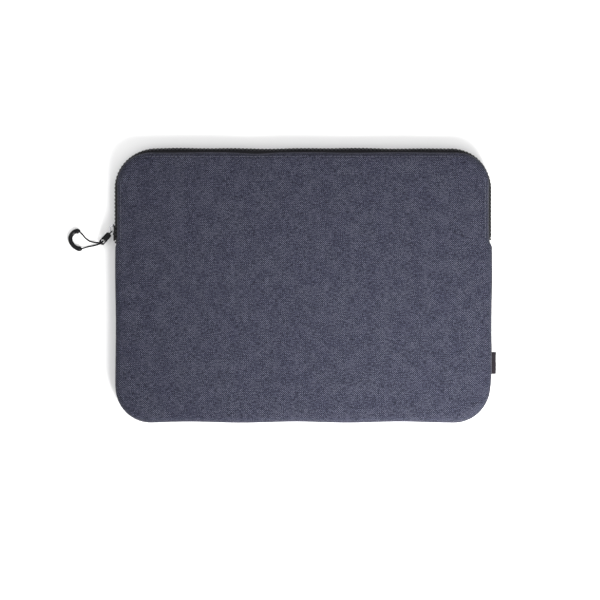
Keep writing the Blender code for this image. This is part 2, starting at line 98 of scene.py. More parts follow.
CORD_RADIUS = 0.0007
CORD_ROUTE = [
    (-0.2023, 0.0482, 0.0021), (-0.1999, 0.0459, 0.0013), (-0.1976, 0.0431, 0.0009),
    (-0.1942, 0.0404, 0.0008), (-0.1909, 0.0393, 0.0010), (-0.1880, 0.0390, 0.0021),
    (-0.1856, 0.0386, 0.0038), (-0.1834, 0.0381, 0.0052), (-0.1822, 0.0391, 0.0056),
    (-0.1814, 0.0400, 0.0049), (-0.1812, 0.0402, 0.0035), (-0.1819, 0.0394, 0.0023),
    (-0.1830, 0.0383, 0.0013), (-0.1851, 0.0375, 0.0009), (-0.1884, 0.0364, 0.0008),
    (-0.1920, 0.0356, 0.0008), (-0.1953, 0.0349, 0.0009), (-0.1982, 0.0340, 0.0015),
    (-0.2005, 0.0333, 0.0021),
]
GRIP_RADIUS = 0.0021
GRIP_ROUTE = [
    (-0.2029, 0.0487, 0.0022), (-0.2058, 0.0491, 0.0022), (-0.2090, 0.0472, 0.0022),
    (-0.2110, 0.0433, 0.0022), (-0.2103, 0.0390, 0.0022), (-0.2076, 0.0354, 0.0022),
    (-0.2043, 0.0335, 0.0022), (-0.2013, 0.0331, 0.0022),
]

# The bail and the pull tab hang where the frame has them
BAIL_MIDDLE = Vector((-0.1715, 0.0504, MIDDLE_Z))
BAIL_REACH = 0.0032
BAIL_HALF_LENGTH = 0.0037
EYE = Vector((-0.17376, 0.04778, MIDDLE_Z))
TAB_HEADING = math.radians(225.8)
TAB_SLOPE = math.radians(34.8)
TAB_START = 0.0018
TAB_END = 0.0170
TAB_WIDTH = 0.0054
TAB_THICKNESS = 0.0010
TAB_CORNER = 0.0021
TAB_HOLE = (0.0115, 0.0152)
TAB_HOLE_HALF_WIDTH = 0.0018
EYE_RING = 0.00175
EYE_WIRE = 0.0005


# Camera and lights

def make_camera():
    """Straight above the sleeve, a little below its middle, through a long lens."""
    height = 3.0
    view_width = 0.5424
    data = bpy.data.cameras.new("Camera")
    data.sensor_width = 36
    data.lens = data.sensor_width * (height - MIDDLE_Z) / view_width
    data.clip_end = 20
    camera = bpy.data.objects.new("Camera", data)
    camera.location = (-0.0027, -0.0133, height)
    bpy.context.scene.collection.objects.link(camera)
    bpy.context.scene.camera = camera


def area_light(name, place, target, size, power, spread=180):
    data = bpy.data.lights.new(name, "AREA")
    data.shape = "SQUARE"
    data.size = size
    data.energy = power
    data.spread = math.radians(spread)
    light = bpy.data.objects.new(name, data)
    light.location = place
    direction = Vector(target) - Vector(place)
    light.rotation_euler = direction.to_track_quat("-Z", "Y").to_euler()
    bpy.context.scene.collection.objects.link(light)


def make_lights():
    """A soft key from the lower right, a broad overhead fill and a pale room."""
    area_light("Key", (0.20, -0.42, 0.46), target=(0.15, 0.02, 0.0), size=0.40, power=4.8, spread=110)
    area_light("Overhead", (0.0, 0.1, 1.9), target=(0, 0, 0), size=1.6, power=9)
    world = bpy.data.worlds.new("Room")
    world.use_nodes = True
    background = world.node_tree.nodes["Background"]
    background.inputs["Color"].default_value = (1, 1, 1, 1)
    background.inputs["Strength"].default_value = 0.85
    bpy.context.scene.world = world
    bpy.context.scene.view_settings.view_transform = "Standard"


def make_floor():
    bm = bmesh.new()
    bmesh.ops.create_grid(bm, x_segments=1, y_segments=1, size=4)
    floor = new_object("floor", bm_mesh("floor", bm))
    floor.location.z = -0.0002
    made = plain_material("Pale floor", (0.96, 0.96, 0.96), 0.9)
    floor.data.materials.append(made)


# Meshes

def new_object(name, data):
    obj = bpy.data.objects.new(name, data)
    bpy.context.scene.collection.objects.link(obj)
    return obj


def bm_mesh(name, bm):
    mesh = bpy.data.meshes.new(name)
    bm.to_mesh(mesh)
    bm.free()
    return mesh


def applied(obj):
    """The object with its modifiers made part of its mesh."""
    graph = bpy.context.evaluated_depsgraph_get()
    mesh = bpy.data.meshes.new_from_object(obj.evaluated_get(graph))
    name = obj.name
    surface = list(obj.data.materials)
    bpy.data.objects.remove(obj)
    mesh.name = name
    if not mesh.materials and surface:
        mesh.materials.append(surface[0])
    return new_object(name, mesh)


def thicken(obj, thickness, offset=-1):
    modifier = obj.modifiers.new("Thickness", "SOLIDIFY")
    modifier.thickness = thickness
    modifier.offset = offset
    modifier.use_even_offset = True
    return applied(obj)


def smooth(obj, angle=40):
    obj.data.shade_smooth()
    obj.data.set_sharp_from_angle(angle=math.radians(angle))
    return obj


def uv_mesh(name, points, faces, uvs):
    """A mesh whose UV map gives each point its place on the flat cloth, in metres."""
    mesh = bpy.data.meshes.new(name)
    mesh.from_pydata([tuple(p) for p in points], [], faces)
    layer = mesh.uv_layers.new(name="Cloth")
    corners = np.empty(len(mesh.loops), int)
    mesh.loops.foreach_get("vertex_index", corners)
    layer.data.foreach_set("uv", np.asarray(uvs, np.float32)[corners].ravel())
    return mesh


def finished(obj, surface):
    if surface.name not in [m.name for m in obj.data.materials if m]:
        obj.data.materials.clear()
        obj.data.materials.append(surface)
    return obj


# Outlines

SIDE_STEPS = 34     # along the upper and lower edges of a panel
END_STEPS = 44      # along its left and right edges
CORNER_STEPS = 12
MIDDLE_RINGS = 16


def panel_ring(inset):
    """Points round a panel, anticlockwise from the right end of its top edge."""
    flat_x = PANEL_HALF - PANEL_CORNER
    flat_y = PANEL_HALF_HEIGHT - PANEL_CORNER
    radius = PANEL_CORNER - inset
    corners = [(1, 1, SIDE_STEPS), (-1, 1, END_STEPS), (-1, -1, SIDE_STEPS), (1, -1, END_STEPS)]
    points = []
    for quarter, (side_x, side_y, straight) in enumerate(corners):
        centre = np.array((side_x * flat_x, PANEL_MIDDLE_Y + side_y * flat_y))
        for step in range(CORNER_STEPS + 1):
            angle = (quarter + step / CORNER_STEPS) * math.pi / 2
            points.append(centre + radius * np.array((math.cos(angle), math.sin(angle))))
        next_x, next_y, _ = corners[(quarter + 1) % 4]
        stop = np.array((next_x * flat_x, PANEL_MIDDLE_Y + next_y * flat_y))
        start = points[-1]
        stop = stop + (start - centre)
        for step in range(1, straight):
            points.append(start + (stop - start) * step / straight)
    return np.array(points)


def corner_push(turn, side):
    """How far the cloth bulges over the zip in its top corners, more at the right one."""
    return (LEFT_CORNER_PUSH if side < 0 else RIGHT_CORNER_PUSH) * math.sin(2 * turn)


def edge_wander(points):
    """How far soft cloth strays outwards: slow waves, a dip in the top edge, and fuller lower sides."""
    x, y = points[:, 0], points[:, 1]
    low = np.clip((PANEL_MIDDLE_Y - 0.09 - y) / 0.02, 0, 1)
    high = np.clip((y - PANEL_MIDDLE_Y - 0.09) / 0.02, 0, 1)
    out = 0.0005 * np.cos((x + 0.055) * 2 * math.pi / 0.095) * low
    out -= 0.0010 * np.exp(-(((x + 0.044) / 0.013) ** 2)) * high
    out += 0.0003 * np.sin(x * 75 + 1.3) * high
    out += 0.0003 * np.sin(y * 60 + 0.6) * (1 - low) * (1 - high)
    corner_x = np.abs(x) - (PANEL_HALF - PANEL_CORNER)
    corner_y = y - (PANEL_MIDDLE_Y + PANEL_HALF_HEIGHT - PANEL_CORNER)
    for i in np.flatnonzero((corner_x > 0) & (corner_y > 0)):
        out[i] += corner_push(math.atan2(corner_x[i], corner_y[i]), x[i])
    facing = np.clip(corner_x / PANEL_CORNER, 0, 1)
    below = np.clip((ZIP_LEFT_Y + 0.002 - y) / 0.004, 0, 1)
    taper = np.clip((y + 0.105) / 0.03, 0.4, 1)
    full = np.where(x < 0, LEFT_BULGE, RIGHT_BULGE * taper)
    out += full * facing ** 2 * below
    out += LOWER_CORNER_BULGE * facing * np.sqrt(1 - facing ** 2) * below
    return out


def rolled_profile(inset, floor, is_cover):
    """(inset, height) rows of a cloth layer, from its rim over the rolled edge to the flat."""
    rows = []
    radius = EDGE_ROUND - floor
    start = max(inset, 0)
    if is_cover:
        rows.append((0.0010, RIM_DEPTH + 0.0001))
        rows.append((0.0003, RIM_DEPTH + 0.0003))
    bulge = 0.0004 if is_cover else 0.0
    for step in range(4):
        height = RIM_DEPTH - (RIM_DEPTH - EDGE_ROUND) * step / 3
        rows.append((start - bulge * math.sin(math.pi * (step + 0.5) / 4), height))
    steps = 10 if is_cover else 6
    for step in range(1, steps + 1):
        turn = math.pi / 2 * step / steps
        rows.append((start + radius * (1 - math.cos(turn)), EDGE_ROUND - radius * math.sin(turn)))
    for further in (0.0064, 0.0080, 0.0098, 0.0118, 0.0140, 0.0165):
        rows.append((further, floor))
    return rows


def foam_profile(inset, floor):
    """Rows of the foam sheet's outer face, from its softened cut edge to the flat."""
    rows = [(inset, floor + FOAM / 2), (inset + 0.0001, floor + 0.0005), (inset + 0.0006, floor)]
    return rows + [(further, floor) for further in (0.0070, 0.0085, 0.0105, 0.0135, 0.0165)]


def unroll(rows):
    """How far in from the edge each row would lie if the cloth were flat."""
    flat = [rows[-1][0]]
    for a, b in zip(reversed(rows[1:]), reversed(rows[:-1])):
        flat.append(flat[-1] - math.dist(a, b))
    return list(reversed(flat))


def crown(points, strength):
    """Soft rise of a padded panel towards its middle, with slow hollows in it."""
    x = points[:, 0] / PANEL_HALF
    y = (points[:, 1] - PANEL_MIDDLE_Y) / PANEL_HALF_HEIGHT
    edge = np.clip(1 - np.maximum(np.abs(x), np.abs(y)), 0, 1)
    rise = 1 - np.exp(-edge / 0.16)
    slow = np.array([noise.noise(Vector((px * 9, py * 9, 3.1))) for px, py in points])
    quick = np.array([noise.noise(Vector((px * 34, py * 26, 8.4))) for px, py in points])
    return strength * rise * (1 + 0.40 * slow + 0.12 * quick)


def panel_rings(rows):
    """Rings of points and of flat cloth places, from the rim in to near the panel's middle."""
    centre = np.array((0, PANEL_MIDDLE_Y))
    rings = [panel_ring(inset) for inset, _ in rows]
    flats = [panel_ring(inset) for inset in unroll(rows)]
    edge = rings[-1]
    for step in range(1, MIDDLE_RINGS):
        rings.append(centre + (edge - centre) * (1 - step / MIDDLE_RINGS))
        flats.append(rings[-1])
    return centre, rings, flats


def panel_layer(name, rows, thickness, is_front, strength, stitched=False):
    """One layer of a half: its outer face from these rows in to the crowned middle, thickened."""
    floor = rows[-1][1]
    centre, rings, flats = panel_rings(rows)
    heights = [height for _, height in rows] + [floor] * (MIDDLE_RINGS - 1)
    outline = rings[0]
    wander = edge_wander(outline)
    reach = np.linalg.norm(outline - centre, axis=1)
    points = []
    for ring, height in zip(rings, heights):
        away = ring - centre
        distance = np.linalg.norm(away, axis=1)
        share = np.clip((distance / reach - 0.8) / 0.2, 0, 1)
        moved = ring + away / distance[:, None] * (wander * share)[:, None]
        lift = min(max((EDGE_ROUND - height) / EDGE_ROUND, 0), 1)
        rise = crown(ring, strength) * lift * (1 if is_front else 0)
        z = height - rise
        if stitched:
            away = np.linalg.norm(ring - panel_ring(STITCH_INSET), axis=1)
            z = z + 0.00035 * np.exp(-((away / 0.0006) ** 2)) * on_zip(outline)
        points.append(np.column_stack((moved, z)))
    rise = strength if is_front else 0
    points = np.concatenate(points + [np.array([[*centre, floor - rise]])])
    flats = np.concatenate(flats + [centre[None, :]])
    faces = ring_faces(len(rings), len(outline))
    if is_front:
        points[:, 2] = THICKNESS - points[:, 2]
    else:
        faces = [tuple(reversed(face)) for face in faces]
    obj = new_object(name, uv_mesh(name, points, faces, flats))
    return smooth(thicken(obj, thickness), 60)


def ring_faces(rows, count):
    """Faces between closed rings of points, and a fan to the one point after the last ring."""
    faces = []
    for row in range(rows - 1):
        for i in range(count):
            j = (i + 1) % count
            low = row * count
            faces.append((low + i, low + j, low + count + j, low + count + i))
    last = (rows - 1) * count
    tip = rows * count
    return faces + [(last + i, last + (i + 1) % count, tip) for i in range(count)]


def on_zip(points):
    """1 along the zipped edges of a panel, 0 along the gusset."""
    side = np.where(points[:, 0] < 0, ZIP_LEFT_Y, ZIP_RIGHT_Y)
    return np.clip((points[:, 1] - side) / 0.004, 0, 1)


class Run:
    """One U-shaped run of wall over the top edge, measured from its middle, positive to the right."""

    def __init__(self, half, top, corner):
        self.half, self.top, self.corner = half, top, corner
        self.flat = half - corner
        self.turn = corner * math.pi / 2

    def at_side(self, y):
        return self.flat + self.turn + self.top - y - self.corner

    def turned(self, distance):
        """How far round its corner the run has turned at a distance."""
        return min(max((abs(distance) - self.flat) / self.corner, 0), math.pi / 2)

    def frame(self, distance, inset=0.0):
        """(point, outward normal, tangent to the right) at a distance."""
        side = math.copysign(1, distance)
        along = abs(distance)
        turn = self.turned(distance)
        normal = Vector((side * math.sin(turn), math.cos(turn)))
        drop = max(along - self.flat - self.turn, 0)
        corner = Vector((side * min(along, self.flat), self.top - self.corner - drop))
        point = corner + normal * (self.corner - inset)
        return point, normal, Vector((normal.y, -normal.x))


PANEL_RUN = Run(PANEL_HALF, PANEL_HIGH[1], PANEL_CORNER)
CHAIN_RUN = Run(CHAIN_HALF, CHAIN_TOP, CHAIN_CORNER)


def chain_wander(distance):
    """Small in-and-out waves of the zip between its seams, and its pull inwards at the corners."""
    waves = 0.00025 * math.sin(distance * 47) + 0.0002 * math.sin(distance * 113 + 2)
    corner_end = CHAIN_RUN.flat + 0.8 * CHAIN_RUN.turn
    waves *= min(max((corner_end - abs(distance)) / 0.02, 0), 1)
    return waves - 0.45 * corner_push(CHAIN_RUN.turned(distance), distance)


# Fabric pieces

def covers():
    for name, is_front, nodes in (
        ("front_cover", True, ("front_shell_lower", "front_shell_flap")),
        ("back_cover", False, ("back_shell",)),
    ):
        rows = rolled_profile(0, 0, True)
        cover = panel_layer(name, rows, CLOTH, is_front, CROWN, stitched=True)
        finished(cover, MATERIALS["weave"])
        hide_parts(*nodes)
        attach(cover, is_front)


def paddings():
    for name, is_front, nodes in (
        ("front_padding", True, ("front_foam_lower", "front_foam_flap")),
        ("back_padding", False, ("back_foam",)),
    ):
        rows = foam_profile(FOAM_INSET, CLOTH + GAP)
        pad = panel_layer(name, rows, FOAM, is_front, CROWN)
        finished(pad, MATERIALS["foam"])
        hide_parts(*nodes)
        attach(pad, is_front)


def linings():
    floor = CLOTH + FOAM + 2 * GAP
    for name, is_front, nodes in (
        ("front_inner_lining", True, ("front_lining_lower", "front_lining_flap")),
        ("back_inner_lining", False, ("back_lining",)),
    ):
        rows = rolled_profile(LINING_INSET, floor, False)
        lining = panel_layer(name, rows, LINING, is_front, CROWN)
        finished(lining, MATERIALS["lining"])
        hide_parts(*nodes)
        attach(lining, is_front)


def attach(obj, is_front):
    """The front's placement is baked into its mesh and it stays unparented; everything else goes with the
    case.
    """
    if is_front:
        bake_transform(obj)
    else:
        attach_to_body(obj, "case")


def gusset_pieces():
    """The wall round the bottom: a slightly bulging strip and its flat lining."""
    run = Run(PANEL_HALF + 0.0002, -PANEL_LOW[1] + 0.0002, PANEL_CORNER)
    start = -run.at_side(-(ZIP_LEFT_Y - GAP))
    stop = run.at_side(-(ZIP_RIGHT_Y - 2 * GAP))
    for name, inset, bulge, thickness, key in (
        ("gusset_strip", 0.0, 0.0006, CLOTH, "weave"),
        ("gusset_inner", CLOTH + 2 * GAP, 0.0, LINING, "lining"),
    ):
        low = RIM_DEPTH + GAP * 0.5
        high = THICKNESS - low
        rows = 10
        columns = 220
        points, uvs, faces = [], [], []
        for i in range(columns + 1):
            distance = start + (stop - start) * i / columns
            edge = run.frame(distance)[0]
            wander = edge_wander(np.array([[edge.x, -edge.y]]))[0]
            for j in range(rows + 1):
                share = j / rows
                out = bulge * math.sin(math.pi * share) - 0.0006 * (bulge > 0) * (share in (0, 1))
                out += wander
                point, _, _ = run.frame(distance, inset - out)
                points.append((point.x, -point.y, low + (high - low) * share))
                uvs.append((distance, share * (high - low)))
        for i in range(columns):
            for j in range(rows):
                a = i * (rows + 1) + j
                b = a + rows + 1
                faces.append((a, b, b + 1, a + 1))
        strip = new_object(name, uv_mesh(name, points, faces, uvs))
        strip = smooth(thicken(strip, thickness), 60)
        finished(strip, MATERIALS[key])
        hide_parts("gusset_fabric" if inset == 0 else "gusset_lining")
        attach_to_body(strip, "case")


def zip_tapes():
    """Each tape comes out from under the turned edge of its panel and ends inside the teeth."""
    for name, is_front, nodes in (
        ("zip_tape_front", True, (
            "front_zip_tape_flap", "front_zip_tape_left_end", "front_zip_tape_right_end")),
        ("zip_tape_back", False, ("back_zip_tape",)),
    ):
        columns = 300
        rows = 8
        points, uvs, faces = [], [], []
        for i in range(columns + 1):
            share = i / columns
            panel_at = mix(-PANEL_RUN.at_side(ZIP_LEFT_Y), PANEL_RUN.at_side(ZIP_RIGHT_Y), share)
            chain_at = mix(-CHAIN_RUN.at_side(ZIP_LEFT_Y), CHAIN_RUN.at_side(ZIP_RIGHT_Y), share)
            seam = PANEL_RUN.frame(panel_at, 0.0013)[0]
            edge = CHAIN_RUN.frame(chain_at, 0.0011 - chain_wander(chain_at))[0]
            for j in range(rows + 1):
                across = j / rows
                curve = across ** 0.8
                x = mix(seam.x, edge.x, curve)
                y = mix(seam.y, edge.y, curve)
                z = mix(RIM_DEPTH - 0.0006, MIDDLE_Z - 0.0008, across)
                points.append((x, y, THICKNESS - z if is_front else z))
                uvs.append((chain_at, across * 0.0055))
        for i in range(columns):
            for j in range(rows):
                a = i * (rows + 1) + j
                b = a + rows + 1
                face = (a, b, b + 1, a + 1)
                faces.append(face if is_front else tuple(reversed(face)))
        tape = new_object(name, uv_mesh(name, points, faces, uvs))
        tape = smooth(thicken(tape, TAPE_THICKNESS, offset=0), 60)
        finished(tape, MATERIALS["zip_tape"])
        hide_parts(*nodes)
        attach(tape, is_front)


def mix(a, b, share):
    return a + (b - a) * share


def tooth_shape():
    """One moulded tooth: x along the chain, y out of the wall, z away from the middle."""
    outline = [
        (0.00095, 0.0027), (0.00095, 0.0015), (0.00050, 0.0008), (0.00078, 0.0002),
        (0.00078, -0.0004), (0.00040, -0.0009),
    ]
    outline += [(-x, z) for x, z in reversed(outline)]
    bm = bmesh.new()
    face = bm.faces.new([bm.verts.new((x, 0, z)) for x, z in outline])
    risen = bmesh.ops.extrude_face_region(bm, geom=[face])
    verts = [v for v in risen["geom"] if isinstance(v, bmesh.types.BMVert)]
    bmesh.ops.translate(bm, vec=(0, -TOOTH_DEPTH, 0), verts=verts)
    bmesh.ops.recalc_face_normals(bm, faces=bm.faces)
    rims = [e for e in bm.edges if abs(e.verts[0].co.y - e.verts[1].co.y) < 1e-6]
    bmesh.ops.bevel(bm, geom=rims, offset=0.00022, segments=2, affect="EDGES", profile=0.6)
    bm.verts.index_update()
    points = np.array([v.co[:] for v in bm.verts])
    faces = [tuple(v.index for v in f.verts) for f in bm.faces]
    bm.free()
    return points, faces


def teeth_rows():
    """Both rows of teeth, each reaching between two opposite ones, short where the slider runs."""
    shape, shape_faces = tooth_shape()
    head = 0.0015
    tip = 0.0002
    share = (head - tip) / (head - shape[:, 2].min())
    short = np.where(shape[:, 2] < head, head - (head - shape[:, 2]) * share, shape[:, 2])
    for name, is_front, nodes in (
        ("zip_teeth_front", True, (
            "front_teeth_flap", "front_teeth_left_end", "front_teeth_right_end")),
        ("zip_teeth_back", False, ("back_teeth_row",)),
    ):
        offset = TOOTH_PITCH / 2 if is_front else 0
        reach = 0.0002 if is_front else 0
        first = math.ceil((-CHAIN_RUN.at_side(CHAIN_LEFT_Y) + 0.001 - offset) / TOOTH_PITCH)
        last = math.floor((CHAIN_RUN.at_side(CHAIN_RIGHT_Y) - 0.001 - offset) / TOOTH_PITCH)
        points, faces = [], []
        for number in range(first, last + 1):
            distance = number * TOOTH_PITCH + offset
            place, normal, tangent = CHAIN_RUN.frame(distance, -chain_wander(distance) - reach)
            low = len(points) * len(shape)
            block = np.empty_like(shape)
            passed = -distance > CHAIN_RUN.flat + CHAIN_RUN.turn / 2
            heights = short if passed else shape[:, 2]
            block[:, 0] = place.x + tangent.x * shape[:, 0] + normal.x * shape[:, 1]
            block[:, 1] = place.y + tangent.y * shape[:, 0] + normal.y * shape[:, 1]
            block[:, 2] = MIDDLE_Z + heights * (1 if is_front else -1)
            points.append(block)
            for face in shape_faces:
                face = tuple(low + i for i in face)
                faces.append(face if is_front else tuple(reversed(face)))
        mesh = bpy.data.meshes.new(name)
        mesh.from_pydata([tuple(p) for p in np.concatenate(points)], [], faces)
        row = smooth(new_object(name, mesh), 35)
        finished(row, MATERIALS["zip_teeth"])
        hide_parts(*nodes)
        attach(row, is_front)


def stitch_rows():
    """Topstitching beside the zip on both panels: short rounded dashes sunk in the cloth."""
    for name, is_front in (("topstitch_front", True), ("topstitch_back", False)):
        start = -PANEL_RUN.at_side(ZIP_LEFT_Y + 0.002)
        stop = PANEL_RUN.at_side(ZIP_RIGHT_Y + 0.002)
        height = EDGE_ROUND - math.sqrt(EDGE_ROUND ** 2 - (EDGE_ROUND - STITCH_INSET) ** 2)
        points, faces = [], []
        distance = start
        while distance < stop:
            turn = PANEL_RUN.turned(distance)
            inset = STITCH_INSET - 0.8 * corner_push(turn, distance)
            place, _, tangent = PANEL_RUN.frame(distance, inset)
            z = height + 0.00012
            centre = Vector((place.x, place.y, THICKNESS - z if is_front else z))
            add_stitch(points, faces, centre, Vector((*tangent, 0)))
            distance += STITCH_PITCH
        mesh = bpy.data.meshes.new(name)
        mesh.from_pydata(points, [], faces)
        stitches = smooth(new_object(name, mesh), 80)
        finished(stitches, MATERIALS["thread"])
        attach(stitches, is_front)


def add_stitch(points, faces, centre, along):
    """One stitch: a six-sided spindle."""
    across = along.cross(Vector((0, 0, 1))).normalized()
    sections = ((-0.5, 0.25), (-0.38, 0.9), (0.0, 1.05), (0.38, 0.9), (0.5, 0.25))
    low = len(points)
    sides = 6
    for share, swell in sections:
        for side in range(sides):
            angle = side * 2 * math.pi / sides
            out = across * math.cos(angle) + Vector((0, 0, math.sin(angle)))
            points.append(tuple(centre + along * (share * STITCH_LENGTH) + out * STITCH_RADIUS * swell))
    for row in range(len(sections) - 1):
        for side in range(sides):
            nxt = (side + 1) % sides
            a = low + row * sides
            faces.append((a + side, a + nxt, a + sides + nxt, a + sides + side))
    faces.append(tuple(low + side for side in reversed(range(sides))))
    top = low + (len(sections) - 1) * sides
    faces.append(tuple(top + side for side in range(sides)))


def label_loop():
    """A ribbon folded over itself, with its ends in the side seam."""
    inner = LABEL_LOW[0] - 0.0012
    half_fold = 0.00050
    fold = LABEL_HIGH[0] - half_fold - 0.0002
    section = []
    straight = 8
    for step in range(straight):
        share = step / straight
        lift = half_fold * (1 + 0.25 * math.sin(share * math.pi))
        section.append((mix(inner, fold, share), lift))
    for step in range(7):
        angle = math.pi / 2 - step * math.pi / 6
        section.append((fold + half_fold * math.cos(angle), half_fold * math.sin(angle)))
    section += [(x, -z) for x, z in reversed(section[:straight])]
    columns = 24
    points, uvs, faces = [], [], []
    along = 0.0
    for i, (x, z) in enumerate(section):
        along += math.dist(section[i - 1], section[i]) if i else 0
        for j in range(columns + 1):
            share = j / columns
            droop = 0.00025 * math.sin(share * 5.2 + 0.4) * (x - inner) / (fold - inner)
            y = mix(LABEL_LOW[1], LABEL_HIGH[1], share)
            points.append((x - 0.00005 * math.cos(share * 9), y, MIDDLE_Z + z + droop))
            uvs.append((y, along))
    for i in range(len(section) - 1):
        for j in range(columns):
            a = i * (columns + 1) + j
            b = a + columns + 1
            faces.append((a, a + 1, b + 1, b))
    ribbon = new_object("label_ribbon", uv_mesh("label_ribbon", points, faces, uvs))
    ribbon = smooth(thicken(ribbon, 0.0004, offset=0), 60)
    finished(ribbon, MATERIALS["label_ribbon"])
    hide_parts("woven_label")
    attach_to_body(ribbon, "case")


# Hard pieces

def extruded(name, outline, thickness, place, rounding, holes=()):
    """A flat plate cut from an outline, with softened edges, centred on its own plane."""
    curve = bpy.data.curves.new(name, "CURVE")
    curve.dimensions = "2D"
    curve.fill_mode = "BOTH"
    curve.extrude = thickness / 2 - rounding
    curve.bevel_depth = rounding
    curve.bevel_resolution = 3
    curve.offset = -rounding
    for loop in (outline, *holes):
        spline = curve.splines.new("POLY")
        spline.points.add(len(loop) - 1)
        spline.use_cyclic_u = True
        for spot, (x, y) in zip(spline.points, loop):
            spot.co = (x, y, 0, 1)
    obj = applied(new_object(name, curve))
    bm = bmesh.new()
    bm.from_mesh(obj.data)
    bmesh.ops.remove_doubles(bm, verts=bm.verts, dist=1e-6)
    bm.transform(place)
    bm.to_mesh(obj.data)
    bm.free()
    return smooth(obj, 35)


def rounded_box_outline(low, high, half_width, radius, steps=6):
    """A rectangle with round corners, from low to high along X."""
    points = []
    for side_x, side_y, start in ((1, -1, -90), (1, 1, 0), (-1, 1, 90), (-1, -1, 180)):
        end = high if side_x > 0 else low
        for step in range(steps + 1):
            angle = math.radians(start + 90 * step / steps)
            x = end - side_x * radius + radius * math.cos(angle)
            y = side_y * (half_width - radius) + radius * math.sin(angle)
            points.append((x, y))
    return points


def slider_outline(scale=1.0):
    """The shield shape of a slider plate: a wide mouth with two shoulders and a narrower tail."""
    half = (SLIDER_HIGH[1] - SLIDER_LOW[1]) / 2 * scale
    wide = 0.0042 * scale
    narrow = 0.0034 * scale
    side = [
        (half, 0.0), (half, narrow * 0.55), (half * 0.93, narrow * 0.85), (half * 0.80, narrow),
        (half * 0.10, narrow), (-half * 0.25, wide * 0.97), (-half * 0.62, wide),
        (-half * 0.88, wide * 0.88), (-half, wide * 0.55), (-half * 0.96, wide * 0.25),
    ]
    lower = [(x, -y) for x, y in reversed(side) if y > 0]
    return side + [(-half * 0.90, 0.0)] + lower


def slider():
    """Two plates round the chain, the thin web between them, the guiding lips and the bail's posts."""
    middle_y = (SLIDER_LOW[1] + SLIDER_HIGH[1]) / 2
    outer_x = SLIDER_LOW[0]
    inner_x = SLIDER_HIGH[0]
    plate = 0.0009
    lip_height = 0.00345
    lip_outline = rounded_box_outline(-0.0062, 0.0062, 0.00085, 0.0004)
    wedge_outline = rounded_box_outline(-0.0021, 0.0021, 0.0022, 0.0003)
    stand = Matrix(((0, 0, 1, 0), (1, 0, 0, 0), (0, 1, 0, 0), (0, 0, 0, 1)))
    pieces = []
    for name, x, scale in (
        ("slider_outer", outer_x + plate / 2, 1.0),
        ("slider_inner", inner_x - plate / 2, 0.96),
    ):
        place = Matrix.Translation((x, middle_y, MIDDLE_Z)) @ stand
        pieces.append(extruded(name, slider_outline(scale), plate, place, 0.0002))
    for name, side in (("slider_lip_top", 1), ("slider_lip_low", -1)):
        spot = (outer_x + 0.0010, middle_y - 0.0002, MIDDLE_Z + side * lip_height)
        place = Matrix.Translation(spot) @ Matrix.Rotation(math.pi / 2, 4, "Z")
        pieces.append(extruded(name, lip_outline, 0.0008, place, 0.0002))
    place = Matrix.Translation((mix(outer_x, inner_x, 0.5), SLIDER_LOW[1] + 0.0033, MIDDLE_Z))
    pieces.append(extruded("slider_wedge", wedge_outline, 0.0002, place, 0.00004))
    for end in (1, -1):
        spot = Vector((outer_x - 0.0001, BAIL_MIDDLE.y + end * BAIL_HALF_LENGTH, MIDDLE_Z))
        place = Matrix.Translation(spot) @ stand
        outline = rounded_box_outline(-0.0011, 0.0011, 0.0013, 0.0009)
        pieces.append(extruded(f"bail_post_{'top' if end > 0 else 'low'}", outline, 0.0010, place, 0.0003))
    body = joined("slider_case", pieces)
    finished(body, MATERIALS["slider_black"])
    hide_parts("slider_body")
    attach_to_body(body, "slider")


def joined(name, pieces):
    """The pieces as one object."""
    bm = bmesh.new()
    for piece in pieces:
        bm.from_mesh(piece.data)
        bpy.data.objects.remove(piece)
    obj = new_object(name, bm_mesh(name, bm))
    return smooth(obj, 35)


def bail():
    path = []
    for step in range(33):
        turn = math.pi * step / 32
        x = BAIL_MIDDLE.x - BAIL_REACH * math.sin(turn) ** 0.85
        path.append(Vector((x, BAIL_MIDDLE.y + BAIL_HALF_LENGTH * math.cos(turn), MIDDLE_Z)))
    wire = tube("bail_wire", path, lambda share: 0.00058, sides=14)
    finished(wire, MATERIALS["bail_chrome"])
    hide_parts("slider_bail")
    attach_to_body(wire, "slider")


def tube(name, path, radius_at, sides=12, groove=None):
    """A tube along a path. groove(share, angle) changes the radius, as on a braid."""
    path = [Vector(p) for p in path]
    count = len(path)
    tangents = []
    for i in range(count):
        tangents.append((path[min(i + 1, count - 1)] - path[max(i - 1, 0)]).normalized())
    side = tangents[0].orthogonal().normalized()
    points, faces = [], []
    for i, (spot, tangent) in enumerate(zip(path, tangents)):
        side = (side - tangent * side.dot(tangent)).normalized()
        other = tangent.cross(side)
        share = i / (count - 1)
        for k in range(sides):
            angle = 2 * math.pi * k / sides
            radius = radius_at(share)
            if groove:
                radius *= groove(share, angle)
            points.append(tuple(spot + (side * math.cos(angle) + other * math.sin(angle)) * radius))
    for i in range(count - 1):
        for k in range(sides):
            a, b = i * sides + k, i * sides + (k + 1) % sides
            faces.append((a, b, b + sides, a + sides))
    faces.append(tuple(reversed(range(sides))))
    faces.append(tuple((count - 1) * sides + k for k in range(sides)))
    mesh = bpy.data.meshes.new(name)
    mesh.from_pydata(points, [], faces)
    return smooth(new_object(name, mesh), 60)


def tab_place():
    turn = Matrix.Rotation(TAB_HEADING, 4, "Z") @ Matrix.Rotation(TAB_SLOPE, 4, "Y")
    return Matrix.Translation(EYE) @ turn


